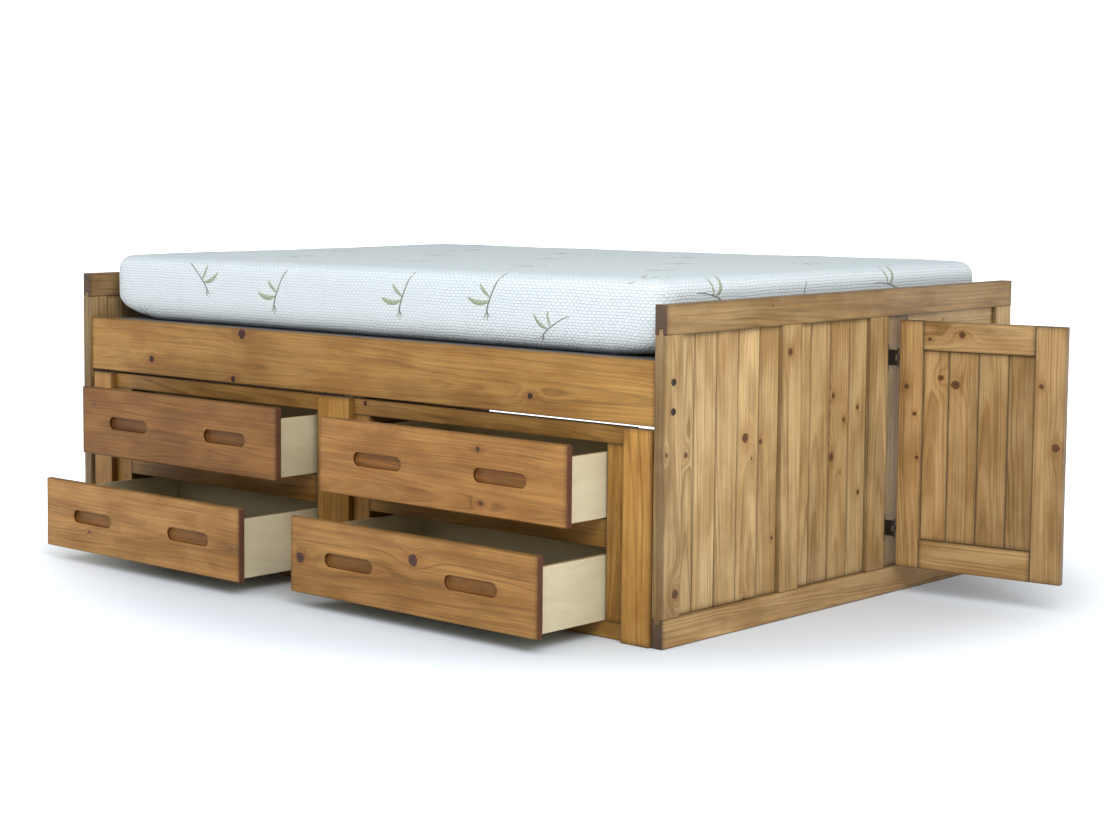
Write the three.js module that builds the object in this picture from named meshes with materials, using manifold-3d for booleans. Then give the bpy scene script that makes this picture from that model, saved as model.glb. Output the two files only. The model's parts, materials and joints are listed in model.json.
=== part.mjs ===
// Platform bed with two drawer sections under one side and a storage door in the foot panel.
// Millimetres, +Z up. +X runs from the head panel to the foot panel, -Y is the drawer side.
// The pieces are laid out in a "layout" group: x = 0 at the head panel's outer face, y = 0 at
// the front edge of the end panels, z = 0 on the floor. That group is then placed so that the
// part's origin is the centre of the rest pose's footprint, on the floor.
import * as THREE from 'three';
import { mergeVertices } from 'three/addons/utils/BufferGeometryUtils.js';
import { RoundedBoxGeometry } from 'three/addons/geometries/RoundedBoxGeometry.js';
import Module from 'manifold-3d';

const wasm = await Module();
wasm.setup();

// ---- end panels ----
const BED_LENGTH = 2000;
const PANEL_WIDTH = 1474;
const PANEL_HEIGHT = 743;
const PANEL_THICK = 30;
const RAIL_HEIGHT = 65;
const BOARD_THICK = 19;
const BOARD_RECESS = 10;
const BOARD_PITCH = 81;
const NARROWEST_BOARD = 30;
const TONGUE_THICK = 12;
const TONGUE_DEPTH = 14;
const GROOVE_WIDTH = 4;
const GROOVE_DEPTH = 3;
const FOOT_POSTS = { front: [0, 62], mid: [437, 515], hinge: [805, 884], far: [1397, 1474] };
const HEAD_POSTS = { front: [0, 62], mid: [698, 776], far: [1397, 1474] };
const DOOR_OPENING_Y = [980, 1276];
const DOOR_OPENING_TOP = 615;
const HEADER_END = 1394;
const FIRST_SEAMS = { front: 117, mid: 567, doorFar: 1316, headFar: 830 };

// ---- side rails and mattress support ----
const SIDE_RAIL_THICK = 22;
const SIDE_RAIL_Z = [479, 622];
const SIDE_RAIL_INSET = 5.4;
const CLEAT_WIDTH = 34;
const CLEAT_HEIGHT = 38;
const CLEAT_END_GAP = 20;
const SLAT_THICK = 18;
const SLAT_WIDTH = 110;
const SLAT_TOP = 598;
const SLAT_CENTRES = [260, 1000, 1740];
const SLAT_END_GAP = 1;
const DECK_THICK = 20;
const DECK_OVER_SIDE = 8;
const DECK_INSIDE_END = 4;
const MATTRESS_X = [50, 1955];
const MATTRESS_Y = [51, 1423];
const MATTRESS_Z = [618, 787];
const MATTRESS_ROUND = 42;

// ---- drawer unit ----
const UNIT_FACE_Y = 12.8;
const UNIT_TOP = 474;
const LEG_THICK = 18.7;
const LEGS = { left: [54, 129], centre: [944, 1053], right: [1892, 1967] };
const FRAME_THICK = 20;
const STILE_WIDTH = 70;
const FRAME_TOP = 471.2;
const FRAME_TOP_RAIL = 38.2;
const FRAME_BOTTOM_RAIL = 38.5;
const MID_RAIL_BOTTOM = 200.7;
const SECTIONS = {
  left: { open: [192, 923], midRailTop: 272, sideTops: { head: 398, foot: 452 } },
  right: { open: [1106, 1835.5], midRailTop: 264, sideTops: { head: 452, foot: 398 } },
};
const UNIT_SIDE_THICK = 15;
const RUNNER_WIDTH = 16;
const RUNNER_HEIGHT = 18;
const RUNNER_GAP = 0.6;
const UNIT_SIDE_BOTTOM = 20;
const UNIT_BACK_TOP = 398;
const UNIT_BACK_Y = 452;

// ---- drawers: y is where the front face stands, from the end panels' front edge ----
const FRONT_THICK = 19.4;
const FRONT_HEIGHT = 180;
const FRONT_OVERLAY = 15.8;
const BOX_CLEARANCE = 4.6;
const BOX_LENGTH = 430;
const BOX_HEIGHT = 145;
const BOX_RAISE = 4.5;
const BOX_WALL = 12;
const BOTTOM_THICK = 6;
const BOTTOM_RAISE = 10;
const SLOT_LENGTH = 155;
const SLOT_HEIGHT = 33;
const SLOT_DEPTH = 12;
const SLOT_FROM_END = 192;
const DRAWERS = {
  upper_left: { section: 'left', bottom: 270, y: -143 },
  upper_right: { section: 'right', bottom: 262.5, y: -144 },
  lower_left: { section: 'left', bottom: 35, y: -265 },
  lower_right: { section: 'right', bottom: 34.5, y: -238 },
};

// ---- storage door: laid out closed in a group at the hinge pin, and the group is turned ----
const DOOR_WIDTH = 406;
const DOOR_Z = [70, 669];
const DOOR_THICK = 19.4;
const DOOR_HINGE_STILE = 58.5;
const DOOR_FREE_STILE = 72;
const DOOR_RAIL = 70;
const DOOR_PANEL_RECESS = 7;
const DOOR_PANEL_THICK = 9;
const DOOR_SEAMS = [122.8, 196.5, 268.8];
const DOOR_STANDOFF = 0.6;
const DOOR_EDGE_Y = 908.2;
const DOOR_OPEN_DEG = 84.2;
const PIN_RADIUS = 2.8;
const PIN_AHEAD_OF_DOOR = 3.1;
const PIN_TO_DOOR_EDGE = 2.2;
const HINGE_HEIGHT = 38;
const WING_HEIGHT = 66;
const WING_WIDTH = 8;
const WING_NECK = 2.5;
const HINGE_PLATE = 1.6;
const LEAF_MARGIN = 2;
const HINGE_CENTRES_Z = [577.5, 162];
const BOLT_Y = 27.8;
const BOLT_Z = [576.8, 513.4];
const BOLT_RADIUS = 8;
const BOLT_EDGE_RADIUS = 6.4;
const BOLT_HEAD = 3;

// Pieces that are cut by a neighbour, or that touch one inside the turned door, keep this gap.
const JOINT_GAP = 0.3;
// A cutter that goes right through a piece runs past it by this much at each end.
const OVERCUT = 5;
const ROUND_SEGMENTS = 24;
const PILLOW_SEGMENTS = 5;

const MATERIALS = {
  panelPine: { color: 0xb99867, roughness: 0.62, metalness: 0 },
  honeyPine: { color: 0xa57c4b, roughness: 0.55, metalness: 0 },
  frontPine: { color: 0xa06f45, roughness: 0.5, metalness: 0 },
  plywood: { color: 0xcdc3a0, roughness: 0.65, metalness: 0 },
  cloth: { color: 0xd8dee0, roughness: 0.9, metalness: 0 },
  darkCloth: { color: 0x1c2026, roughness: 0.9, metalness: 0 },
  blackIron: { color: 0x2b2723, roughness: 0.5, metalness: 0.6 },
};

const part = new THREE.Group();
const layout = new THREE.Group();
part.add(layout);

// ---- ranges: pairs of a low and a high value along one axis ----
function widen(range, gap) {
  return [range[0] - gap, range[1] + gap];
}

function centreOf(range) {
  return (range[0] + range[1]) / 2;
}

function lengthOf(range) {
  return range[1] - range[0];
}

// The range between two depths that are measured from outer, in the direction of inward (+1 or -1).
function depthRange(outer, inward, from, to) {
  const ends = [outer + inward * from, outer + inward * to];
  return ends.sort((a, b) => a - b);
}

// ---- shapes ----
function block(x, y, z) {
  const geometry = new THREE.BoxGeometry(lengthOf(x), lengthOf(y), lengthOf(z));
  return geometry.translate(centreOf(x), centreOf(y), centreOf(z));
}

function uprightCylinder(x, y, z, radius) {
  const geometry = new THREE.CylinderGeometry(radius, radius, lengthOf(z), ROUND_SEGMENTS);
  return geometry.rotateX(Math.PI / 2).translate(x, y, centreOf(z));
}

// A square bar on its corner, squeezed to the groove's size, cuts a V along a board seam.
function grooveBar(x, y, z) {
  const bar = new THREE.BoxGeometry(1, 1, lengthOf(z) + 2 * OVERCUT);
  bar.rotateZ(Math.PI / 4);
  bar.scale(GROOVE_DEPTH * Math.SQRT2, (GROOVE_WIDTH * Math.SQRT2) / 2, 1);
  return bar.translate(x, y, centreOf(z));
}

function solidOf(geometry) {
  const bare = geometry.clone();
  bare.deleteAttribute('normal');
  bare.deleteAttribute('uv');
  const merged = mergeVertices(bare, 1e-4);
  return new wasm.Manifold(new wasm.Mesh({
    numProp: 3,
    vertProperties: new Float32Array(merged.attributes.position.array),
    triVerts: new Uint32Array(merged.index.array),
  }));
}

function geometryOf(solid) {
  const mesh = solid.getMesh();
  const geometry = new THREE.BufferGeometry();
  geometry.setAttribute('position', new THREE.BufferAttribute(mesh.vertProperties, 3));
  geometry.setIndex(new THREE.BufferAttribute(mesh.triVerts, 1));
  geometry.computeVertexNormals();
  return geometry;
}

function cut(geometry, cutters) {
  const solid = cutters.map(solidOf).reduce((rest, cutter) => rest.subtract(cutter), solidOf(geometry));
  return geometryOf(solid);
}

function join(geometries) {
  return geometryOf(geometries.map(solidOf).reduce((whole, other) => whole.add(other)));
}

function place(name, geometry, material, parent = layout) {
  const mesh = new THREE.Mesh(geometry, new THREE.MeshStandardMaterial(MATERIALS[material]));
  mesh.name = name;
  parent.add(mesh);
}

// ---- end panels: outer is the x of the outer face, inward is +1 or -1 towards the mattress ----
const FIELD_Z = [RAIL_HEIGHT, PANEL_HEIGHT - RAIL_HEIGHT];

function panelFrame(prefix, outer, inward, posts) {
  const x = depthRange(outer, inward, 0, PANEL_THICK);
  const cheek = (PANEL_THICK - TONGUE_THICK) / 2;
  const tongueX = depthRange(outer, inward, cheek, cheek + TONGUE_THICK);
  const tongueZ = widen(FIELD_Z, TONGUE_DEPTH);
  const mortises = [];
  for (const [name, y] of Object.entries(posts)) {
    place(`${prefix}_${name}_post`, join([block(x, y, FIELD_Z), block(tongueX, y, tongueZ)]), 'panelPine');
    mortises.push(block(widen(tongueX, JOINT_GAP), widen(y, JOINT_GAP), widen(tongueZ, JOINT_GAP)));
  }
  const top = block(x, [0, PANEL_WIDTH], [FIELD_Z[1], PANEL_HEIGHT]);
  const bottom = block(x, [0, PANEL_WIDTH], [0, FIELD_Z[0]]);
  place(`${prefix}_top_rail`, cut(top, mortises), 'panelPine');
  place(`${prefix}_bottom_rail`, cut(bottom, mortises), 'panelPine');
}

function boardBay(name, outer, inward, y, z, seams) {
  const x = depthRange(outer, inward, BOARD_RECESS, BOARD_RECESS + BOARD_THICK);
  const face = outer + inward * BOARD_RECESS;
  place(name, cut(block(x, y, z), seams.map((seam) => grooveBar(face, seam, z))), 'panelPine');
}

// Seams one board apart from the first one, as long as a board fits between the last one and the end.
function seamsUpTo(first, end) {
  const count = Math.ceil((end - NARROWEST_BOARD - first) / BOARD_PITCH);
  return Array.from({ length: count }, (_, i) => first + i * BOARD_PITCH);
}

panelFrame('foot', BED_LENGTH, -1, FOOT_POSTS);
const FOOT_BAYS = {
  foot_boards_front: { y: [FOOT_POSTS.front[1], FOOT_POSTS.mid[0]], z: FIELD_Z, first: FIRST_SEAMS.front },
  foot_boards_mid: { y: [FOOT_POSTS.mid[1], FOOT_POSTS.hinge[0]], z: FIELD_Z, first: FIRST_SEAMS.mid },
  foot_boards_far: {
    y: [DOOR_OPENING_Y[1], FOOT_POSTS.far[0]],
    z: [FIELD_Z[0], DOOR_OPENING_TOP],
    first: FIRST_SEAMS.doorFar,
  },
};
for (const [name, bay] of Object.entries(FOOT_BAYS)) {
  boardBay(name, BED_LENGTH, -1, bay.y, bay.z, seamsUpTo(bay.first, bay.y[1]));
}
const HEADER_Y = [DOOR_OPENING_Y[0], HEADER_END];
boardBay('foot_board_hinge', BED_LENGTH, -1, [FOOT_POSTS.hinge[1], DOOR_OPENING_Y[0]], FIELD_Z, []);
boardBay('foot_header', BED_LENGTH, -1, HEADER_Y, [DOOR_OPENING_TOP, FIELD_Z[1]], []);

panelFrame('head', 0, 1, HEAD_POSTS);
const HEAD_FRONT_BAY = [HEAD_POSTS.front[1], HEAD_POSTS.mid[0]];
const HEAD_FAR_BAY = [HEAD_POSTS.mid[1], HEAD_POSTS.far[0]];
const HEAD_FRONT_SEAMS = seamsUpTo(FIRST_SEAMS.front, HEAD_FRONT_BAY[1]);
const HEAD_FAR_SEAMS = seamsUpTo(FIRST_SEAMS.headFar, HEAD_FAR_BAY[1]);
boardBay('head_boards_front', 0, 1, HEAD_FRONT_BAY, FIELD_Z, HEAD_FRONT_SEAMS);
boardBay('head_boards_far', 0, 1, HEAD_FAR_BAY, FIELD_Z, HEAD_FAR_SEAMS);

// ---- bolt heads that hold the side rail through the foot panel's front post ----
BOLT_Z.forEach((z, i) => {
  const head = new THREE.CylinderGeometry(BOLT_EDGE_RADIUS, BOLT_RADIUS, BOLT_HEAD, ROUND_SEGMENTS);
  head.rotateZ(-Math.PI / 2).translate(BED_LENGTH + BOLT_HEAD / 2, BOLT_Y, z);
  place(`foot_bolt_${i + 1}`, head, 'blackIron');
});

// ---- side rails, cleats, slats, deck and mattress ----
const INNER_X = [PANEL_THICK, BED_LENGTH - PANEL_THICK];
const FRONT_RAIL_Y = [SIDE_RAIL_INSET, SIDE_RAIL_INSET + SIDE_RAIL_THICK];
const BACK_RAIL_Y = [PANEL_WIDTH - FRONT_RAIL_Y[1], PANEL_WIDTH - FRONT_RAIL_Y[0]];
const CLEAT_X = widen(INNER_X, -CLEAT_END_GAP);
const CLEAT_Z = [SLAT_TOP - SLAT_THICK - CLEAT_HEIGHT, SLAT_TOP - SLAT_THICK];
const FRONT_CLEAT_Y = [FRONT_RAIL_Y[1], FRONT_RAIL_Y[1] + CLEAT_WIDTH];
const BACK_CLEAT_Y = [BACK_RAIL_Y[0] - CLEAT_WIDTH, BACK_RAIL_Y[0]];
place('side_rail_front', block(INNER_X, FRONT_RAIL_Y, SIDE_RAIL_Z), 'honeyPine');
place('side_rail_back', block(INNER_X, BACK_RAIL_Y, SIDE_RAIL_Z), 'honeyPine');
place('cleat_front', block(CLEAT_X, FRONT_CLEAT_Y, CLEAT_Z), 'honeyPine');
place('cleat_back', block(CLEAT_X, BACK_CLEAT_Y, CLEAT_Z), 'honeyPine');
SLAT_CENTRES.forEach((centre, i) => {
  const x = [centre - SLAT_WIDTH / 2, centre + SLAT_WIDTH / 2];
  const y = [FRONT_RAIL_Y[1] + SLAT_END_GAP, BACK_RAIL_Y[0] - SLAT_END_GAP];
  place(`slat_${i + 1}`, block(x, y, [SLAT_TOP - SLAT_THICK, SLAT_TOP]), 'honeyPine');
});
const DECK_X = widen(MATTRESS_X, -DECK_INSIDE_END);
const DECK_Y = widen(MATTRESS_Y, DECK_OVER_SIDE);
place('mattress_deck', block(DECK_X, DECK_Y, [SLAT_TOP, SLAT_TOP + DECK_THICK]), 'darkCloth');

const pillow = new RoundedBoxGeometry(
  lengthOf(MATTRESS_X),
  lengthOf(MATTRESS_Y),
  lengthOf(MATTRESS_Z) - JOINT_GAP,
  PILLOW_SEGMENTS,
  MATTRESS_ROUND,
);
pillow.translate(centreOf(MATTRESS_X), centreOf(MATTRESS_Y), centreOf(MATTRESS_Z) + JOINT_GAP / 2);
place('mattress', cut(pillow, []), 'cloth');

// ---- drawer unit: three legs, two face frames, the sides with their runners, one back ----
for (const [name, x] of Object.entries(LEGS)) {
  place(`leg_${name}`, block(x, [UNIT_FACE_Y - LEG_THICK, UNIT_FACE_Y], [0, UNIT_TOP]), 'honeyPine');
}
const FRAME_Y = [UNIT_FACE_Y, UNIT_FACE_Y + FRAME_THICK];
const FRAME_CUT_Y = widen(FRAME_Y, OVERCUT);
const SIDE_Y = [FRAME_Y[1], UNIT_BACK_Y];

// A side board with a runner under each drawer that its section holds; into is +1 or -1.
function unitSide(sectionName, outerX, into, topZ) {
  const boardX = depthRange(outerX, into, 0, UNIT_SIDE_THICK);
  const runnerX = depthRange(outerX, into, UNIT_SIDE_THICK, UNIT_SIDE_THICK + RUNNER_WIDTH);
  const held = Object.values(DRAWERS).filter((drawer) => drawer.section === sectionName);
  const runners = held.map((drawer) => {
    const top = drawer.bottom + BOX_RAISE - RUNNER_GAP;
    return block(runnerX, SIDE_Y, [top - RUNNER_HEIGHT, top]);
  });
  return join([block(boardX, SIDE_Y, [UNIT_SIDE_BOTTOM, topZ]), ...runners]);
}

for (const [name, section] of Object.entries(SECTIONS)) {
  const upper = block(section.open, FRAME_CUT_Y, [section.midRailTop, FRAME_TOP - FRAME_TOP_RAIL]);
  const lower = block(section.open, FRAME_CUT_Y, [FRAME_BOTTOM_RAIL, MID_RAIL_BOTTOM]);
  const board = block(widen(section.open, STILE_WIDTH), FRAME_Y, [0, FRAME_TOP]);
  place(`face_frame_${name}`, cut(board, [upper, lower]), 'honeyPine');
  const [headX, footX] = widen(section.open, UNIT_SIDE_THICK);
  place(`unit_side_${name}_head`, unitSide(name, headX, 1, section.sideTops.head), 'honeyPine');
  place(`unit_side_${name}_foot`, unitSide(name, footX, -1, section.sideTops.foot), 'honeyPine');
}
const UNIT_X = widen([SECTIONS.left.open[0], SECTIONS.right.open[1]], UNIT_SIDE_THICK);
const BACK_Y = [UNIT_BACK_Y, UNIT_BACK_Y + UNIT_SIDE_THICK];
place('unit_back', block(UNIT_X, BACK_Y, [UNIT_SIDE_BOTTOM, UNIT_BACK_TOP]), 'honeyPine');

// ---- drawers ----
// The blind finger slot: a stadium outline in the x-z plane, pushed back into the front's face.
function slotPocket(x, z, faceY) {
  const radius = SLOT_HEIGHT / 2;
  const reach = SLOT_LENGTH / 2 - radius;
  const outline = new THREE.Shape();
  outline.absarc(reach, 0, radius, -Math.PI / 2, Math.PI / 2);
  outline.absarc(-reach, 0, radius, Math.PI / 2, (3 * Math.PI) / 2);
  outline.closePath();
  const pocket = new THREE.ExtrudeGeometry(outline, {
    depth: 2 * SLOT_DEPTH,
    bevelEnabled: false,
    curveSegments: ROUND_SEGMENTS / 2,
  });
  return pocket.rotateX(Math.PI / 2).translate(x, faceY + SLOT_DEPTH, z);
}

for (const [name, drawer] of Object.entries(DRAWERS)) {
  const { open } = SECTIONS[drawer.section];
  const frontX = widen(open, FRONT_OVERLAY);
  const frontZ = [drawer.bottom, drawer.bottom + FRONT_HEIGHT];
  const slots = [frontX[0] + SLOT_FROM_END, frontX[1] - SLOT_FROM_END];
  const pockets = slots.map((x) => slotPocket(x, centreOf(frontZ), drawer.y));
  const front = block(frontX, [drawer.y, drawer.y + FRONT_THICK], frontZ);
  place(`drawer_${name}_front`, cut(front, pockets), 'frontPine');

  const boxX = widen(open, -BOX_CLEARANCE);
  const boxY = [drawer.y + FRONT_THICK, drawer.y + FRONT_THICK + BOX_LENGTH];
  const boxZ = [drawer.bottom + BOX_RAISE, drawer.bottom + BOX_RAISE + BOX_HEIGHT];
  const innerX = widen(boxX, -BOX_WALL);
  const innerY = widen(boxY, -BOX_WALL);
  const bottomZ = [boxZ[0] + BOTTOM_RAISE, boxZ[0] + BOTTOM_RAISE + BOTTOM_THICK];
  const hollow = block(innerX, innerY, widen(boxZ, OVERCUT));
  place(`drawer_${name}_box`, cut(block(boxX, boxY, boxZ), [hollow]), 'plywood');
  place(`drawer_${name}_bottom`, block(innerX, innerY, bottomZ), 'plywood');
}

// ---- storage door; inside this group x and y are measured from the hinge pin ----
const STRIP_FACE = BED_LENGTH - BOARD_RECESS;
const DOOR_BACK = STRIP_FACE + DOOR_STANDOFF;
const PIN_X = DOOR_BACK + DOOR_THICK + PIN_AHEAD_OF_DOOR;
const PIN_Y = DOOR_EDGE_Y - PIN_TO_DOOR_EDGE;
const door = new THREE.Group();
door.position.set(PIN_X, PIN_Y, 0);
door.rotation.z = THREE.MathUtils.degToRad(-DOOR_OPEN_DEG);
layout.add(door);

const DOOR_X = [DOOR_BACK - PIN_X, DOOR_BACK + DOOR_THICK - PIN_X];
const DOOR_Y = [PIN_TO_DOOR_EDGE, PIN_TO_DOOR_EDGE + DOOR_WIDTH];
const STILE_INNER_Y = [DOOR_Y[0] + DOOR_HINGE_STILE, DOOR_Y[1] - DOOR_FREE_STILE];
const RAIL_INNER_Z = widen(DOOR_Z, -DOOR_RAIL);
const DOOR_FIELD_Y = widen(STILE_INNER_Y, -JOINT_GAP);
const DOOR_FIELD_Z = widen(RAIL_INNER_Z, -JOINT_GAP);
const PANEL_FACE = DOOR_X[1] - DOOR_PANEL_RECESS;
const doorPanel = block([PANEL_FACE - DOOR_PANEL_THICK, PANEL_FACE], DOOR_FIELD_Y, DOOR_FIELD_Z);
const panelGrooves = DOOR_SEAMS.map((seam) => grooveBar(PANEL_FACE, DOOR_Y[0] + seam, DOOR_FIELD_Z));
place('door_hinge_stile', block(DOOR_X, [DOOR_Y[0], STILE_INNER_Y[0]], DOOR_Z), 'panelPine', door);
place('door_free_stile', block(DOOR_X, [STILE_INNER_Y[1], DOOR_Y[1]], DOOR_Z), 'panelPine', door);
place('door_top_rail', block(DOOR_X, DOOR_FIELD_Y, [RAIL_INNER_Z[1], DOOR_Z[1]]), 'panelPine', door);
place('door_bottom_rail', block(DOOR_X, DOOR_FIELD_Y, [DOOR_Z[0], RAIL_INNER_Z[0]]), 'panelPine', door);
place('door_panel', cut(doorPanel, panelGrooves), 'panelPine', door);

// ---- hinges: a fixed wing on the recessed board, and a leaf on the door's edge ----
HINGE_CENTRES_Z.forEach((centre, i) => {
  const span = [centre - HINGE_HEIGHT / 2, centre + HINGE_HEIGHT / 2];
  const third = HINGE_HEIGHT / 3;
  const middle = [span[0] + third, span[1] - third];
  const flangeY = [PIN_Y - PIN_RADIUS, PIN_Y - PIN_RADIUS + HINGE_PLATE];
  const plateX = [STRIP_FACE, STRIP_FACE + HINGE_PLATE];
  const tallY = [flangeY[0] - WING_WIDTH, flangeY[0] - WING_NECK];
  const wing = join([
    block(plateX, tallY, [centre - WING_HEIGHT / 2, centre + WING_HEIGHT / 2]),
    block(plateX, [tallY[0], flangeY[1]], span),
    block([STRIP_FACE, PIN_X], flangeY, span),
    uprightCylinder(PIN_X, PIN_Y, span, PIN_RADIUS),
  ]);
  const room = block(
    widen([PIN_X, PIN_X], 2 * PIN_RADIUS),
    widen([PIN_Y, PIN_Y], 2 * PIN_RADIUS),
    widen(middle, JOINT_GAP),
  );
  place(`hinge_${i + 1}_wing`, cut(wing, [room]), 'blackIron');

  const leafY = [PIN_TO_DOOR_EDGE - JOINT_GAP - HINGE_PLATE, PIN_TO_DOOR_EDGE - JOINT_GAP];
  const leaf = join([
    block([DOOR_X[0] + LEAF_MARGIN, 0], leafY, middle),
    block([-HINGE_PLATE, 0], [0, leafY[1]], middle),
    uprightCylinder(0, 0, middle, PIN_RADIUS),
  ]);
  place(`hinge_${i + 1}_leaf`, leaf, 'blackIron', door);
});

// ---- centre the rest pose's footprint on the origin ----
const footprint = new THREE.Box3().setFromObject(layout);
const middle = footprint.getCenter(new THREE.Vector3());
layout.position.set(-middle.x, -middle.y, 0);

export default part;
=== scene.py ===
"""Looks of a platform bed with storage drawers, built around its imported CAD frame. Metres, +Z up."""
import json
import math
import random

import bmesh
import bpy
from mathutils import Matrix, Vector
from mathutils.bvhtree import BVHTree
from mathutils.noise import noise


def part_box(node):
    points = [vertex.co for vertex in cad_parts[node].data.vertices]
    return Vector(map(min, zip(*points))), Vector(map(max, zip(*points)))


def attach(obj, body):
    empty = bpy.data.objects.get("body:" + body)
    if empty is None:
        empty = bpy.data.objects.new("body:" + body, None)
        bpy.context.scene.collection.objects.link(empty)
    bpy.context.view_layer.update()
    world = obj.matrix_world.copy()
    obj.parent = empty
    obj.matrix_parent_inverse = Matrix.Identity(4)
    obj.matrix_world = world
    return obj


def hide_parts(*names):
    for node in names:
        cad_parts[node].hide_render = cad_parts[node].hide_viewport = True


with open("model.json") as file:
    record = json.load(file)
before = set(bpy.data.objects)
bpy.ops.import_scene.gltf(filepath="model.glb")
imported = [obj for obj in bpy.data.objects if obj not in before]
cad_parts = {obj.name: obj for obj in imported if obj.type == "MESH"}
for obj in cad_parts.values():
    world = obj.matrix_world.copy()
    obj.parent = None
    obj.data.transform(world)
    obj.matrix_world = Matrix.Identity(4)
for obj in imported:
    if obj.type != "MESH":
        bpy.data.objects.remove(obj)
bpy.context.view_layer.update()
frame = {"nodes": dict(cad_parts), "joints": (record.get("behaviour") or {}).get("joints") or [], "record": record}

X, Y, Z = 0, 1, 2
random.seed(20)

# ---- sizes, in metres ----
EASE = 0.0022
SMALL_EASE = 0.0012
ROUND_EASE = 0.0035
EASE_STEPS = 3
BOARD_PITCH = 0.081
NARROWEST_BOARD = 0.03
SEAM_GAP = 0.0016
LARGEST_STEP = 0.0007
FIRST_SEAM_FROM_BAY = {
    "foot_boards_front": 0.055,
    "foot_boards_mid": 0.052,
    "foot_boards_far": 0.040,
    "head_boards_front": 0.055,
    "head_boards_far": 0.054,
}
FRAME_STILE = 0.070
FRAME_TOP_RAIL = 0.0397
FRAME_TOP_STAND = 0.0015
FRAME_BOTTOM_RAIL = 0.0385
MID_RAIL_BOTTOM = 0.2007
MID_RAIL_TOP = {"left": 0.272, "right": 0.264}
SLOT_LENGTH = 0.155
SLOT_HEIGHT = 0.033
SLOT_DEPTH = 0.0118
SLOT_FROM_END = 0.192
SLOT_RIM = 0.0014
SLOT_FILLET = 0.003
# Painted shade on the finger slots' walls, darker than the painted shade on their floors.
SLOT_WALL_PAINTED_SHADE = (0.30, 0.22, 0.15)
SLOT_END_STEPS = 18
SLOT_CURVE_STEPS = 4
CUTTER_AHEAD = 0.004
BOX_WALL = 0.012
BOX_EASE = 0.0009
BOX_BOTTOM_EASE = 0.0006
DOOR_PANEL_SEAMS = (0.064, 0.1377, 0.210)
MAX_KNOTS = 4


# ---- node helpers ----
class Nodes:
    """Adds shader nodes to a tree; values may be numbers, tuples or sockets."""

    def __init__(self, tree, shader=None):
        self.tree = tree
        self.shader = shader

    def put(self, socket, value):
        if isinstance(value, bpy.types.NodeSocket):
            self.tree.links.new(value, socket)
        elif value is not None:
            socket.default_value = value

    def node(self, kind, inputs=None, **settings):
        made = self.tree.nodes.new("ShaderNode" + kind)
        for key, value in settings.items():
            setattr(made, key, value)
        for key, value in (inputs or {}).items():
            self.put(made.inputs[key], value)
        return made

    def math(self, operation, a, b=None, c=None, clamp=False):
        made = self.node("Math", operation=operation, use_clamp=clamp)
        for socket, value in zip(made.inputs, (a, b, c)):
            self.put(socket, value)
        return made.outputs[0]

    def plus(self, a, b):
        return self.math("ADD", a, b)

    def minus(self, a, b):
        return self.math("SUBTRACT", a, b)

    def times(self, a, b):
        return self.math("MULTIPLY", a, b)

    def times_plus(self, a, b, c):
        return self.math("MULTIPLY_ADD", a, b, c)

    def vector(self, operation, a, b=None, scale=None):
        made = self.node("VectorMath", operation=operation)
        self.put(made.inputs[0], a)
        self.put(made.inputs[1], b)
        if scale is not None:
            self.put(made.inputs["Scale"], scale)
        return made.outputs["Value" if operation == "LENGTH" else "Vector"]

    def scaled(self, vector, scale):
        return self.vector("SCALE", vector, scale=scale)

    def split(self, vector):
        return self.node("SeparateXYZ", {"Vector": vector}).outputs

    def combine(self, x, y, z=0.0):
        return self.node("CombineXYZ", {"X": x, "Y": y, "Z": z}).outputs[0]

    def attribute(self, name, output="Vector"):
        return self.node("Attribute", attribute_name=name).outputs[output]

    def noise(self, vector, scale, detail=2.0, roughness=0.5, distortion=0.0):
        inputs = {"Vector": vector, "Scale": scale, "Detail": detail}
        inputs.update({"Roughness": roughness, "Distortion": distortion})
        return self.node("TexNoise", inputs).outputs["Fac"]

    def smooth(self, value, low, high, to_low=0.0, to_high=1.0):
        inputs = {"Value": value, "From Min": low, "From Max": high, "To Min": to_low, "To Max": to_high}
        return self.node("MapRange", inputs, interpolation_type="SMOOTHSTEP").outputs[0]

    def mix(self, factor, a, b, blend="MIX"):
        made = self.node("Mix", {0: factor, 6: a, 7: b}, data_type="RGBA", blend_type=blend)
        return made.outputs[2]

    def surface(self, channel, value):
        self.put(self.shader.inputs[channel], value)

    def bump(self, height, distance, strength):
        made = self.node("Bump", {"Height": height, "Distance": distance, "Strength": strength})
        self.surface("Normal", made.outputs[0])


def new_material(name, roughness, **constants):
    material = bpy.data.materials.new(name)
    material.use_nodes = True
    nodes = Nodes(material.node_tree, material.node_tree.nodes["Principled BSDF"])
    nodes.surface("Roughness", roughness)
    for channel, value in constants.items():
        nodes.surface(channel.replace("_", " "), value)
    return material, nodes


# ---- wood ----
RING_SPACING = 0.0056
RING_TAPER = 0.022
RING_UNEVEN = 2.4
KNOT_STRETCH = 0.55
KNOT_REACH = 0.16
KNOT_PUSH = 1.5
KNOT_CHANCE = 0.82
KNOT_CELLS_ALONG = 2.6
KNOT_CELLS_ACROSS = 7.5
SMALLEST_KNOT = 0.0018
KNOT_SPREAD = 0.0045
BARK = (0.020, 0.007, 0.004, 1.0)
GLAZE_WIDTH = 0.005
END_DARK_WIDTH = 0.014
WOOD_BUMP = 0.00035
WOOD_ROUGHNESS = 0.46
NO_TINT = (1.0, 1.0, 1.0, 1.0)
CLOUD_TINT = (0.90, 0.82, 0.70, 1.0)
HALO_TINT = (0.62, 0.42, 0.30)
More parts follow.
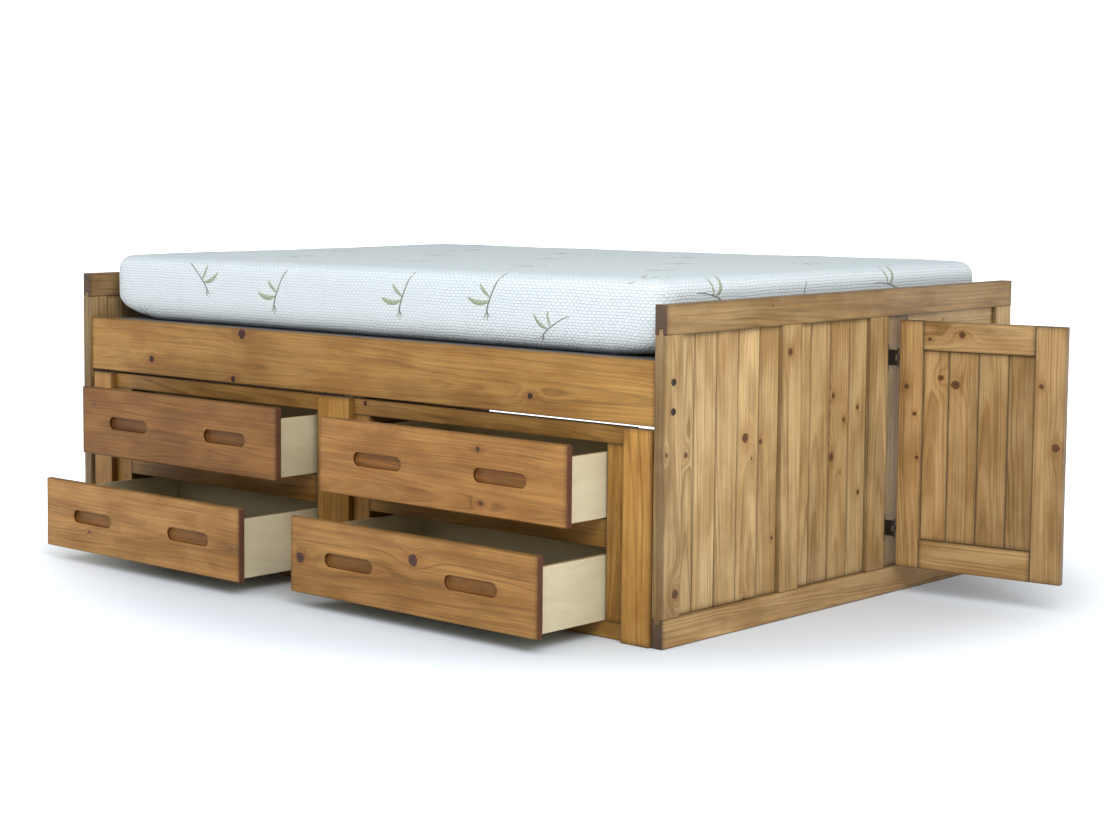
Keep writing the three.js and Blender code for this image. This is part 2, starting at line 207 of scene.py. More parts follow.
# Each pattern's frequency along, across and through a board, its detail and its roughness.
GRAIN_NOISES = {
    "slow": ((1.6, 5.0, 5.0), 2.0, 0.5),
    "sway": ((5.0, 16.0, 16.0), 2.0, 0.5),
    "knot_edge": ((160.0, 160.0, 160.0), 1.0, 0.5),
    "patch": ((3.0, 22.0, 22.0), 2.0, 0.5),
    "fibre": ((9.0, 700.0, 700.0), 3.0, 0.6),
    "streak": ((2.2, 120.0, 120.0), 2.0, 0.5),
    "cloud": ((5.0, 13.0, 13.0), 3.0, 0.6),
    "stripe": ((3.0, 230.0, 230.0), 3.0, 0.6),
}


class Grain:
    """Where a shaded point lies in its own board, from the board's mesh attributes."""

    def __init__(self, nodes):
        self.nodes = nodes
        self.along, self.across, self.depth = nodes.split(nodes.attribute("grain"))
        half_along, half_across, half_depth = nodes.split(nodes.attribute("half_size"))
        self.to_end = nodes.minus(half_along, nodes.math("ABSOLUTE", self.along))
        self.to_side = nodes.minus(half_across, nodes.math("ABSOLUTE", self.across))
        self.to_face = nodes.minus(half_depth, nodes.math("ABSOLUTE", self.depth))
        self.from_front = nodes.plus(half_depth, self.depth)
        self.shift, self.pith_across, self.pith_depth = nodes.split(nodes.attribute("pith"))
        self.far_shift = nodes.times(self.shift, 31.0)
        self.far_along = nodes.plus(self.along, self.far_shift)
        self.place = nodes.combine(self.far_along, self.across, self.depth)

    def noise(self, pattern):
        frequency, detail, roughness = GRAIN_NOISES[pattern]
        place = self.nodes.vector("MULTIPLY", self.place, frequency)
        return self.nodes.noise(place, 1.0, detail, roughness)


def knot_distance(nodes, grain, knot):
    """Distance to a knot's middle over its radius, round and then stretched along the grain, and the
    radius itself. Both distances are huge where the radius is 0."""
    k_along, k_across, radius = nodes.split(knot)
    size = nodes.math("MAXIMUM", radius, 1e-5)
    gone = nodes.times(nodes.math("LESS_THAN", radius, 1e-4), 1e3)
    d_along = nodes.minus(grain.along, k_along)
    d_across = nodes.minus(grain.across, k_across)
    close = nodes.vector("LENGTH", nodes.combine(d_along, d_across))
    wide = nodes.vector("LENGTH", nodes.combine(nodes.times(d_along, KNOT_STRETCH), d_across))
    return (
        nodes.plus(nodes.math("DIVIDE", close, size), gone),
        nodes.plus(nodes.math("DIVIDE", wide, size), gone),
        size,
    )


def random_knot(nodes, grain):
    """A scattered knot near this point: one in some of the cells of a stretched cell texture."""
    along_shift = nodes.times(grain.shift, 17.0)
    across_shift = nodes.times(grain.shift, 5.0)
    place = nodes.combine(
        nodes.times_plus(grain.along, KNOT_CELLS_ALONG, along_shift),
        nodes.times_plus(grain.across, KNOT_CELLS_ACROSS, across_shift),
    )
    cell = nodes.node("TexVoronoi", {"Vector": place, "Scale": 1.0}, voronoi_dimensions="2D")
    offset = nodes.vector("SUBTRACT", cell.outputs["Position"], place)
    off_along, off_across, _ = nodes.split(offset)
    chance = nodes.split(cell.outputs["Color"])[0]
    radius = nodes.times(nodes.smooth(chance, KNOT_CHANCE, 1.0), KNOT_SPREAD)
    is_there = nodes.math("GREATER_THAN", chance, KNOT_CHANCE)
    radius = nodes.times_plus(is_there, SMALLEST_KNOT, radius)
    return nodes.combine(
        nodes.plus(grain.along, nodes.math("DIVIDE", off_along, KNOT_CELLS_ALONG)),
        nodes.plus(grain.across, nodes.math("DIVIDE", off_across, KNOT_CELLS_ACROSS)),
        radius,
    )


def bend_round_knots(nodes, grain, ring):
    """Pushes the ring distance outward near every knot. Gives it back with the distance to the nearest
    knot, in knot radii, and how strongly a knot is felt here."""
    knots = [nodes.attribute(f"knot_{i + 1}") for i in range(MAX_KNOTS)]
    knots.append(random_knot(nodes, grain))
    nearest = None
    halo = None
    for knot in knots:
        close, wide, size = knot_distance(nodes, grain, knot)
        felt = nodes.math("EXPONENT", nodes.times(nodes.math("POWER", wide, 2.0), -KNOT_REACH))
        ring = nodes.plus(ring, nodes.times(nodes.times(felt, size), KNOT_PUSH))
        nearest = close if nearest is None else nodes.math("MINIMUM", nearest, close)
        halo = felt if halo is None else nodes.math("MAXIMUM", halo, felt)
    nearest = nodes.plus(nearest, nodes.times_plus(grain.noise("knot_edge"), 0.5, -0.25))
    nearest = nodes.plus(nearest, nodes.smooth(grain.to_side, 0.0005, 0.003, 3.0, 0.0))
    return ring, nearest, halo


def growth_rings(nodes, grain):
    """Rings are cylinders round a pith line beside the board. Gives the ring distance, the place within
    one ring, how much dark late wood there is, and the knots' two fields."""
    bend = nodes.plus(nodes.times(grain.noise("slow"), 0.05), nodes.times(grain.noise("sway"), 0.010))
    side = nodes.plus(nodes.minus(grain.across, grain.pith_across), bend)
    down = nodes.minus(grain.depth, grain.pith_depth)
    ring = nodes.vector("LENGTH", nodes.combine(side, down))
    ring = nodes.times_plus(grain.along, RING_TAPER, ring)
    ring, nearest, halo = bend_round_knots(nodes, grain, ring)

    uneven = nodes.node("TexNoise", {"W": ring, "Scale": 75.0, "Detail": 2.0}, noise_dimensions="1D")
    count = nodes.math("DIVIDE", ring, RING_SPACING)
    count = nodes.times_plus(uneven.outputs["Fac"], RING_UNEVEN, count)
    phase = nodes.math("FRACT", count)
    rise = nodes.smooth(phase, 0.42, 0.92)
    fall = nodes.smooth(phase, 0.93, 1.0, 1.0, 0.0)
    ring_noise = nodes.noise(nodes.combine(count, grain.far_shift), 0.35, 1.0)
    strength = nodes.smooth(ring_noise, 0.3, 0.7, 0.30, 1.0)
    strength = nodes.times(strength, nodes.smooth(grain.noise("patch"), 0.35, 0.65, 0.55, 1.0))
    late_wood = nodes.times(nodes.times(rise, fall), strength)
    return ring, phase, late_wood, nearest, halo


def knot_colour(nodes, tone, nearest):
    """Faint rings of its own inside a knot, and a dark line of bark round it."""
    rings = nodes.math("SINE", nodes.times(nearest, 16.0))
    shade = nodes.smooth(nearest, 0.0, 0.95, 0.55, 1.15)
    shade = nodes.times(shade, nodes.times_plus(rings, 0.13, 0.9))
    colour = nodes.scaled(tone, shade)
    from_rim = nodes.math("ABSOLUTE", nodes.minus(nearest, 0.95))
    bark = nodes.smooth(from_rim, 0.0, 0.2, 1.0, 0.0)
    return nodes.mix(nodes.times(bark, 0.75), colour, BARK)


def wood_material(
    name, early, late, end_grain, contrast, blotch,
    recess_painted_shade=None, knot_tone=(0.052, 0.014, 0.007), line_shade=0.78,
):
    """Sawn and stained softwood. Each board's own coordinates, size, pith, stain and knots come from its
    mesh attributes, so that no two boards look alike."""
    material, nodes = new_material(name, WOOD_ROUGHNESS, Specular_IOR_Level=0.22)
    grain = Grain(nodes)
    ring, phase, late_wood, nearest, halo = growth_rings(nodes, grain)
    late_wood = nodes.times(late_wood, contrast)
    fibre = grain.noise("fibre")
    cloud = grain.noise("cloud")
    flow = nodes.combine(nodes.times(grain.far_along, 1.8), nodes.times(ring, 260.0))
    dark_line = nodes.noise(flow, 1.0, 3.0, 0.6)

    shade = nodes.times_plus(fibre, 0.22, 0.89)
    for factor in (
        nodes.times_plus(grain.noise("streak"), 0.34, 0.83),
        nodes.smooth(cloud, 0.28, 0.72, 1.0 - blotch, 1.0 + blotch * 0.5),
        nodes.smooth(grain.noise("stripe"), 0.30, 0.70, 0.84, 1.10),
        nodes.smooth(dark_line, 0.37, 0.50, line_shade, 1.03),
    ):
        shade = nodes.times(shade, factor)
    colour = nodes.mix(late_wood, early, late)
    warm = nodes.mix(nodes.smooth(cloud, 0.35, 0.6), CLOUD_TINT, NO_TINT)
    colour = nodes.mix(1.0, colour, warm, "MULTIPLY")
    colour = nodes.scaled(colour, shade)
    colour = nodes.vector("MULTIPLY", colour, nodes.attribute("stain"))

    glow = nodes.times(nodes.smooth(halo, 0.25, 0.95), 0.42)
    colour = nodes.mix(glow, colour, nodes.vector("MULTIPLY", colour, HALO_TINT))
    in_knot = nodes.smooth(nearest, 0.98, 1.16, 1.0, 0.0)
    colour = nodes.mix(in_knot, colour, knot_colour(nodes, knot_tone, nearest))

    to_edge = nodes.math("MINIMUM", grain.to_end, grain.to_side)
    glaze = nodes.smooth(to_edge, 0.0, GLAZE_WIDTH, 0.62, 1.0)
    near_end = nodes.smooth(grain.to_end, 0.0, END_DARK_WIDTH, 0.68, 1.0)
    colour = nodes.scaled(colour, nodes.times(glaze, near_end))
    # Painted shade inside the finger slots: dark on the walls, less dark on the floor.
    if recess_painted_shade:
        inside = nodes.smooth(grain.to_face, 0.0012, 0.0035)
        recess = nodes.times(inside, nodes.smooth(to_edge, 0.004, 0.008))
        at_floor = nodes.smooth(grain.from_front, SLOT_DEPTH - 0.0040, SLOT_DEPTH - 0.0006)
        tint = nodes.mix(at_floor, (*SLOT_WALL_PAINTED_SHADE, 1.0), (*recess_painted_shade, 1.0))
        colour = nodes.mix(recess, colour, nodes.vector("MULTIPLY", colour, tint))
    end_shade = nodes.times_plus(phase, -0.35, 1.15)
    end_shade = nodes.times(end_shade, nodes.times_plus(cloud, 0.6, 0.7))
    is_end = nodes.smooth(grain.to_end, 0.0006, 0.0016, 1.0, 0.0)
    colour = nodes.mix(is_end, colour, nodes.scaled(end_grain, end_shade))
    nodes.surface("Base Color", colour)

    gloss = nodes.times_plus(fibre, 0.16, WOOD_ROUGHNESS - 0.08)
    gloss = nodes.times_plus(is_end, 0.25, gloss)
    nodes.surface("Roughness", gloss)
    height = nodes.times_plus(late_wood, 0.5, nodes.times(fibre, 0.5))
    height = nodes.times_plus(nodes.smooth(nearest, 0.8, 1.1, 1.0, 0.0), -0.8, height)
    nodes.bump(height, WOOD_BUMP, 0.8)
    return material


# ---- other materials ----
PLY_THICKNESS = 0.0024
PLY_FACE_DEPTH = (0.0006, 0.0010)
VENEER_TONES = ((0.545, 0.470, 0.305, 1.0), (0.605, 0.530, 0.360, 1.0))
PLY_TONES = ((0.52, 0.40, 0.22, 1.0), (0.30, 0.20, 0.10, 1.0))
IRON_TONES = ((0.016, 0.014, 0.010, 1.0), (0.055, 0.045, 0.028, 1.0))
DECK_THREAD = 0.0022
DECK_TONES = ((0.008, 0.010, 0.016, 1.0), (0.020, 0.024, 0.036, 1.0))


def plywood_material():
    """Pale rotary-cut veneer on the faces, and stacked plies where a board's edge shows."""
    material, nodes = new_material("plywood", 0.55)
    along, across, depth = nodes.split(nodes.attribute("grain"))
    half_depth = nodes.split(nodes.attribute("half_size"))[2]
    shift = nodes.split(nodes.attribute("pith"))[0]
    place = nodes.combine(nodes.times_plus(shift, 23.0, along), across, depth)
    figure = nodes.noise(nodes.vector("MULTIPLY", place, (7.0, 26.0, 26.0)), 1.0, 3.0, 0.55, 0.8)
    fibre = nodes.noise(nodes.vector("MULTIPLY", place, (14.0, 600.0, 600.0)), 1.0, 2.0)
    colour = nodes.mix(nodes.smooth(figure, 0.3, 0.7), *VENEER_TONES)
    plies = nodes.math("FRACT", nodes.times(nodes.plus(depth, 1.0), 1.0 / PLY_THICKNESS))
    ply_colour = nodes.mix(nodes.smooth(plies, 0.35, 0.5), *PLY_TONES)
    inside = nodes.minus(half_depth, nodes.math("ABSOLUTE", depth))
    colour = nodes.mix(nodes.smooth(inside, *PLY_FACE_DEPTH), colour, ply_colour)
    colour = nodes.scaled(colour, nodes.times_plus(fibre, 0.14, 0.93))
    nodes.surface("Base Color", nodes.vector("MULTIPLY", colour, nodes.attribute("stain")))
    nodes.bump(fibre, 0.0002, 0.5)
    return material


def iron_material():
    """Dark bronze paint over a slightly uneven casting."""
    material, nodes = new_material("black_iron", 0.42, Metallic=0.55)
    place = nodes.node("TexCoord").outputs["Object"]
    mottle = nodes.noise(place, 260.0, 3.0, 0.6)
    colour = nodes.mix(mottle, *IRON_TONES)
    nodes.surface("Base Color", colour)
    nodes.surface("Roughness", nodes.times_plus(mottle, 0.3, 0.28))
    nodes.bump(mottle, 0.0003, 0.5)
    return material


WEAVE_LONG = 0.0130
WEAVE_TALL = 0.0072
WEAVE_BUMP = 0.0012
# The knit's colour in its hollows and on its raised ovals; the hollows' darkness is painted shade.
KNIT_LOW = (0.515, 0.570, 0.590, 1.0)
KNIT_HIGH = (0.635, 0.685, 0.695, 1.0)
# The top's knit colour, greyer than the sides: painted shade.
KNIT_TOP_PAINTED_SHADE = (0.505, 0.567, 0.580, 1.0)
STEM_DYE = (0.165, 0.170, 0.135, 1.0)
LEAF_DYE = (0.320, 0.360, 0.245, 1.0)


def knit_height(nodes):
    """Rows of small raised ovals, laid like bricks, and the yarn's own roughness."""
    coordinates = nodes.node("TexCoord").outputs
    place = coordinates["Object"]
    facing = nodes.split(nodes.vector("ABSOLUTE", coordinates["Normal"]))
    drift = nodes.noise(place, 9.0, 1.0)
    drifted = nodes.scaled(nodes.combine(drift, drift, drift), 0.008)
    moved = nodes.vector("ADD", place, drifted)
    x, y, z = nodes.split(moved)
    end_face = nodes.math("GREATER_THAN", facing[0], 0.707)
    top_face = nodes.math("GREATER_THAN", facing[2], 0.707)
    along = nodes.plus(x, nodes.times(end_face, nodes.minus(y, x)))
    up = nodes.plus(z, nodes.times(top_face, nodes.minus(y, z)))
    rows = nodes.math("DIVIDE", up, WEAVE_TALL)
    columns = nodes.math("DIVIDE", along, WEAVE_LONG)
    columns = nodes.times_plus(nodes.math("FLOOR", rows), 0.5, columns)
    across_row = nodes.smooth(nodes.math("PINGPONG", rows, 0.5), 0.0, 0.24)
    along_row = nodes.smooth(nodes.math("PINGPONG", columns, 0.5), 0.0, 0.26)
    ovals = nodes.times(across_row, along_row)
    yarn = nodes.noise(place, 900.0, 1.0)
    return nodes.times_plus(yarn, 0.3, ovals), ovals, yarn


def knit_material():
    """White stretch knit, with painted shade that makes the top a little greyer than the sides."""
    material, nodes = new_material("mattress_cloth", 0.88, Sheen_Weight=0.15, Sheen_Roughness=0.5)
    height, ovals, yarn = knit_height(nodes)
    # Painted shade: faces that look up get the greyer top colour.
    flat = nodes.smooth(nodes.split(nodes.node("TexCoord").outputs["Normal"])[2], 0.55, 0.95)
    # Painted shade: the hollows between the raised ovals are darker than the ovals.
    colour = nodes.mix(ovals, KNIT_LOW, KNIT_HIGH)
    colour = nodes.mix(flat, colour, KNIT_TOP_PAINTED_SHADE)
    colour = nodes.scaled(colour, nodes.times_plus(yarn, 0.10, 0.95))
    nodes.surface("Base Color", colour)
    nodes.bump(height, WEAVE_BUMP, 0.9)
    return material


def print_material():
    """Sage leaves and grey brown stems, dyed into the knit."""
    material, nodes = new_material("mattress_print", 0.88, Sheen_Weight=0.15, Sheen_Roughness=0.5)
    height, ovals, yarn = knit_height(nodes)
    tint = nodes.attribute("tint", "Fac")
    colour = nodes.mix(tint, STEM_DYE, LEAF_DYE)
    # On the top the print is mixed towards the greyer top colour, which is painted shade.
    colour = nodes.mix(nodes.attribute("fade", "Fac"), colour, KNIT_TOP_PAINTED_SHADE)
    # Painted shade in the knit's hollows darkens the print there too.
    shade = nodes.times_plus(ovals, 0.20, 0.84)
    shade = nodes.times(shade, nodes.times_plus(yarn, 0.2, 0.9))
    nodes.surface("Base Color", nodes.scaled(colour, shade))
    nodes.bump(height, WEAVE_BUMP, 0.8)
    return material


def deck_material():
    """Near black woven cloth, which makes the dark band under the mattress."""
    material, nodes = new_material("deck_cloth", 0.9, Sheen_Weight=0.2)
    x, y, z = nodes.split(nodes.node("TexCoord").outputs["Object"])
    turn = 2.0 * math.pi / DECK_THREAD
    warp = nodes.math("SINE", nodes.times(nodes.plus(x, z), turn))
    weft = nodes.math("SINE", nodes.times(nodes.plus(y, z), turn))
    weave = nodes.times(warp, weft)
    colour = nodes.mix(nodes.smooth(weave, -1.0, 1.0), *DECK_TONES)
    nodes.surface("Base Color", colour)
    nodes.bump(weave, 0.0003, 0.6)
    return material


END_GRAIN = (0.085, 0.052, 0.034)
FRONT_END_GRAIN = (0.095, 0.036, 0.018)
PANEL_PINE = wood_material(
    "panel_pine", (0.468, 0.317, 0.147, 1.0), (0.283, 0.157, 0.056, 1.0), END_GRAIN,
    contrast=0.80, blotch=0.17, knot_tone=(0.125, 0.056, 0.020), line_shade=0.86,
)
RAIL_PINE = wood_material(
    "rail_pine", (0.345, 0.182, 0.047, 1.0), (0.235, 0.105, 0.0215, 1.0), END_GRAIN,
    contrast=0.66, blotch=0.15,
)
# Drawer fronts, with painted shade on the walls and floors of their finger slots.
FRONT_PINE = wood_material(
    "front_pine", (0.330, 0.163, 0.0445, 1.0), (0.215, 0.089, 0.0205, 1.0), FRONT_END_GRAIN,
    contrast=0.60, blotch=0.17, knot_tone=(0.088, 0.038, 0.026), recess_painted_shade=(0.64, 0.54, 0.41),
)
PLYWOOD = plywood_material()
IRON = iron_material()
KNIT = knit_material()
PRINT = print_material()
DECK = deck_material()
LOOK_OF_SLOT = {
    "panel_pine": PANEL_PINE,
    "rail_pine": RAIL_PINE,
    "front_pine": FRONT_PINE,
    "plywood": PLYWOOD,
    "black_iron": IRON,
}
SLOT_OF_NODE = {row["node"]: row["material_slot"] for row in frame["record"]["subparts"]}
BODY_OF_NODE = {
    node: body for body, nodes in frame["record"]["behaviour"]["bodies"].items() for node in nodes
}


# ---- boards ----
class Board:
    """How a board is cut: its grain axis, wide axis, stain, pith and knots (along, across, radius)."""

    def __init__(self, grain, wide, stain=1.0, knots=(), warm=0.0, pith=None):
        self.grain = grain
        self.wide = wide
        self.deep = 3 - grain - wide
        self.stain = (stain * (1 + warm), stain, stain * (1 - warm))
        self.knots = list(knots) + [(0.0, 0.0, 0.0)] * (MAX_KNOTS - len(knots))
        self.pith = pith or (random.random(), random.uniform(-0.05, 0.05), -random.uniform(0.03, 0.09))


def layers_of(bm):
    """The vertex attributes that a board's look is read from, made where they are missing."""
    names = ["grain", "half_size", "pith", "stain"] + [f"knot_{i + 1}" for i in range(MAX_KNOTS)]
    vectors = bm.verts.layers.float_vector
    return {name: vectors.get(name) or vectors.new(name) for name in names}


def mark_board(bm, verts, low, high, board):
    """Writes a board's own coordinates, half size, pith, stain and knots on its vertices."""
    layers = layers_of(bm)
    middle = (low + high) / 2
    half = (high - low) / 2
    order = (board.grain, board.wide, board.deep)
    for vert in verts:
        offset = vert.co - middle
        vert[layers["grain"]] = [offset[axis] for axis in order]
        vert[layers["half_size"]] = [half[axis] for axis in order]
        vert[layers["pith"]] = board.pith
        vert[layers["stain"]] = board.stain
        for i in range(MAX_KNOTS):
            vert[layers[f"knot_{i + 1}"]] = board.knots[i]


def add_box(bm, low, high):
    made = bmesh.ops.create_cube(bm, size=1.0)["verts"]
    for vert in made:
        vert.co = Vector(c * s for c, s in zip(vert.co, high - low)) + (low + high) / 2
    return made


def round_edges(bm, edges, offset, segments):
    """Rounds these edges, and holds the rounding back where it would overlap."""
    bmesh.ops.bevel(
        bm, geom=list(edges), offset=offset, segments=segments, profile=0.5, affect="EDGES",
        clamp_overlap=True,
    )


def add_board(bm, low, high, board, ease=EASE):
    """One board: a box with eased arrises."""
    layers_of(bm)
    made = add_box(bm, low, high)
    edges = {edge for vert in made for edge in vert.link_edges}
    before = set(bm.verts) - set(made)
    round_edges(bm, edges, ease, EASE_STEPS)
    verts = [vert for vert in bm.verts if vert not in before]
    mark_board(bm, verts, low, high, board)


def cad_copy(node, sharp_angle, offset, segments):
    """A CAD node's mesh with its coplanar faces joined and its sharp edges rounded."""
    bm = bmesh.new()
    bm.from_mesh(frame["nodes"][node].data)
    bmesh.ops.remove_doubles(bm, verts=bm.verts, dist=1e-5)
    bmesh.ops.dissolve_limit(bm, angle_limit=math.radians(1.0), verts=bm.verts, edges=bm.edges)
    sharp = [e for e in bm.edges if e.is_manifold and e.calc_face_angle() > math.radians(sharp_angle)]
    round_edges(bm, sharp, offset, segments)
    return bm


def add_object(name, data):
    made = bpy.data.objects.new(name, data)
    bpy.context.scene.collection.objects.link(made)
    return made


def finish_mesh(name, bm, material, matrix=None):
    """A shown object from a bmesh, which is freed; the matrix moves its points."""
    mesh = bpy.data.meshes.new(name)
    bmesh.ops.recalc_face_normals(bm, faces=bm.faces)
    bm.to_mesh(mesh)
    bm.free()
    if matrix is not None:
        mesh.transform(matrix)
    mesh.materials.append(material)
    mesh.shade_smooth()
    return add_object(name, mesh)


def apply_modifiers(piece):
    graph = bpy.context.evaluated_depsgraph_get()
    mesh = bpy.data.meshes.new_from_object(piece.evaluated_get(graph), depsgraph=graph)
    piece.modifiers.clear()
    piece.data = mesh


def weight_normals(piece):
    """Flat faces stay flat and only the eased arrises look round."""
    modifier = piece.modifiers.new("weighted_normals", "WEIGHTED_NORMAL")
    modifier.weight = 100
    modifier.keep_sharp = True


def stand_for(piece, *nodes):
    """The piece takes the place and the body of these CAD nodes."""
    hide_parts(*nodes)
    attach(piece, BODY_OF_NODE[nodes[0]])


def show(prefix, node, bm, matrix=None):
    """The piece that shows a hard CAD node."""
    piece = finish_mesh(prefix + node, bm, LOOK_OF_SLOT[SLOT_OF_NODE[node]], matrix)
    weight_normals(piece)
    stand_for(piece, node)


def wood_piece(node, boards, ease=EASE, matrix=None):
    """A new piece for a CAD node, made of (low, high, Board) boxes."""
    bm = bmesh.new()
    for low, high, board in boards:
        add_board(bm, low, high, board, ease)
    show("wood_", node, bm, matrix)


def one_board(node, board, ease=EASE):
    wood_piece(node, [(*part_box(node), board)], ease)


def carved_piece(node, board, ease=EASE):
    """A new piece with a CAD node's exact outline, such as its tongues or mortises, and eased arrises."""
    low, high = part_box(node)
    bm = cad_copy(node, 30.0, ease, EASE_STEPS)
    mark_board(bm, bm.verts, low, high, board)
    show("wood_", node, bm)


# ---- end panels ----
def seam_places(low, high, first):
    """Both ends of a bay and the seams between its boards."""
    places = [low]
    seam = low + first
    while seam < high - NARROWEST_BOARD:
        places.append(seam)
        seam += BOARD_PITCH
    return places + [high]


def between_seams(low, high, start, end):
    """The box between two seams of a bay, less half a gap at each side."""
    return Vector((low.x, start + SEAM_GAP / 2, low.z)), Vector((high.x, end - SEAM_GAP / 2, high.z))


def board_bay(node, stains, knots, outward):
    """A bay of tongue and groove boards, each set back a little by a different step."""
    low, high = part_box(node)
    edges = seam_places(low.y, high.y, FIRST_SEAM_FROM_BAY[node])
    boards = []
    for i, (start, end) in enumerate(zip(edges, edges[1:])):
        lift = random.uniform(-LARGEST_STEP, 0.0)
        board_low, board_high = between_seams(low, high, start, end)
        if outward > 0:
            board_high.x += lift
        else:
            board_low.x -= lift
        look = Board(Z, Y, stains[i % len(stains)], knots.get(i, ()), warm=random.uniform(-0.01, 0.05))
        boards.append((board_low, board_high, look))
    wood_piece(node, boards, SMALL_EASE * 1.4)


FOOT_FRONT_KNOTS = {
    0: [(0.042, 0.0, 0.006)],
    3: [(0.060, -0.010, 0.0105), (0.012, 0.016, 0.003)],
    4: [(0.047, -0.030, 0.006), (-0.178, 0.020, 0.004)],
}
FOOT_MID_KNOTS = {
    2: [(-0.015, -0.031, 0.0095), (0.130, -0.026, 0.006), (0.070, 0.020, 0.005)],
    3: [(0.095, 0.0, 0.0055), (-0.110, 0.010, 0.006)],
}


def build_end_panels():
    post_stains = {"front": 0.80, "mid": 0.93, "hinge": 0.82, "far": 0.80}
    post_knots = {
        "foot_front": [(-0.255, 0.012, 0.010), (0.05, -0.026, 0.005)],
        "foot_mid": [(0.245, -0.01, 0.008)],
    }
    # The head end is darker than the foot by painted shade, for the shade on its inner face.
    ends = (("foot", 1.0, ("front", "mid", "hinge", "far")), ("head", 0.82, ("front", "mid", "far")))
    for end, end_painted_shade, posts in ends:
        for post in posts:
            knots = post_knots.get(f"{end}_{post}", ())
            carved_piece(f"{end}_{post}_post", Board(Z, Y, post_stains[post] * end_painted_shade, knots, warm=0.02))
        for rail, stain in (("top", 0.56), ("bottom", 0.82)):
            carved_piece(f"{end}_{rail}_rail", Board(Y, Z, stain * end_painted_shade, warm=0.08), ROUND_EASE)
    board_bay("foot_boards_front", (0.90, 1.03, 0.95, 1.03, 0.88), FOOT_FRONT_KNOTS, 1)
    board_bay("foot_boards_mid", (0.90, 0.80, 0.84, 0.94), FOOT_MID_KNOTS, 1)
    board_bay("foot_boards_far", (0.95, 0.88), {}, 1)
    # The hinge strip's dark stain is painted shade: the shadow that the open door casts on it.
    one_board("foot_board_hinge", Board(Z, Y, 0.47, warm=0.06))
    one_board("foot_header", Board(Y, Z, 0.85), SMALL_EASE)
    # The head's boards are darker for the same painted shade.
    board_bay("head_boards_front", (0.76, 0.70, 0.80, 0.67, 0.74), {}, -1)
    board_bay("head_boards_far", (0.70, 0.79, 0.72, 0.76), {}, -1)


# ---- side rails, slats and the drawer unit's frame ----
def build_frame():
    rail_knots = [
        (-0.348, 0.058, 0.0125), (-0.711, -0.029, 0.009), (-0.382, -0.061, 0.0075), (0.62, -0.03, 0.007),
    ]
    one_board("side_rail_front", Board(X, Z, 1.0, rail_knots, pith=(0.31, 0.01, -0.05)))
    one_board("side_rail_back", Board(X, Z, 0.97))
    for side in ("front", "back"):
        one_board(f"cleat_{side}", Board(X, Z, 0.95), SMALL_EASE)
    for i in range(3):
        one_board(f"slat_{i + 1}", Board(Y, X, 1.05), SMALL_EASE)
    for name, stain in (("left", 1.02), ("centre", 1.06), ("right", 1.12)):
        one_board(f"leg_{name}", Board(Z, X, stain, warm=0.02))
    for section, mid_top in MID_RAIL_TOP.items():
        face_frame(section, mid_top)
        for end in ("head", "foot"):
            carved_piece(f"unit_side_{section}_{end}", Board(Y, Z, 0.95), SMALL_EASE)
    one_board("unit_back", Board(X, Z, 0.95), SMALL_EASE)


def face_frame(section, mid_top):
    """Top and bottom rails run the whole length; the stiles stand between them and hold the middle rail."""
    node = f"face_frame_{section}"
    low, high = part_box(node)
    high.z += FRAME_TOP_STAND
    inner_low, inner_high = low.x + FRAME_STILE, high.x - FRAME_STILE
    top_rail, bottom_rail = high.z - FRAME_TOP_RAIL, low.z + FRAME_BOTTOM_RAIL
    pieces = [
        ((low.x, top_rail), (high.x, high.z), Board(X, Z, 0.86)),
        ((low.x, low.z), (high.x, bottom_rail), Board(X, Z, 0.9)),
        ((low.x, bottom_rail), (inner_low, top_rail), Board(Z, X, 0.95)),
        ((inner_high, bottom_rail), (high.x, top_rail), Board(Z, X, 1.0)),
        ((inner_low, MID_RAIL_BOTTOM), (inner_high, mid_top), Board(X, Z, 0.9)),
    ]
    boards = []
    for (x0, z0), (x1, z1), look in pieces:
        boards.append((Vector((x0, low.y, z0)), Vector((x1, high.y, z1)), look))
    wood_piece(node, boards, SMALL_EASE)


# ---- drawers ----
def bridge_rings(bm, rings):
    """Joins each ring of points to the next, and closes the first and the last."""
    for first, second in zip(rings, rings[1:]):
        for i in range(len(first)):
            j = (i + 1) % len(first)
            bm.faces.new((first[i], first[j], second[j], second[i]))
    bm.faces.new(rings[0])
    bm.faces.new(list(reversed(rings[-1])))


def slot_ring(grow):
    """The finger slot's outline, grown by some distance, as points in x and z round its middle."""
    radius = SLOT_HEIGHT / 2
    reach = SLOT_LENGTH / 2 - radius
    points = []
    for centre, start in ((reach, -math.pi / 2), (-reach, math.pi / 2)):
        for i in range(SLOT_END_STEPS + 1):
            angle = start + math.pi * i / SLOT_END_STEPS
            points.append((centre + (radius + grow) * math.cos(angle), (radius + grow) * math.sin(angle)))
    return points


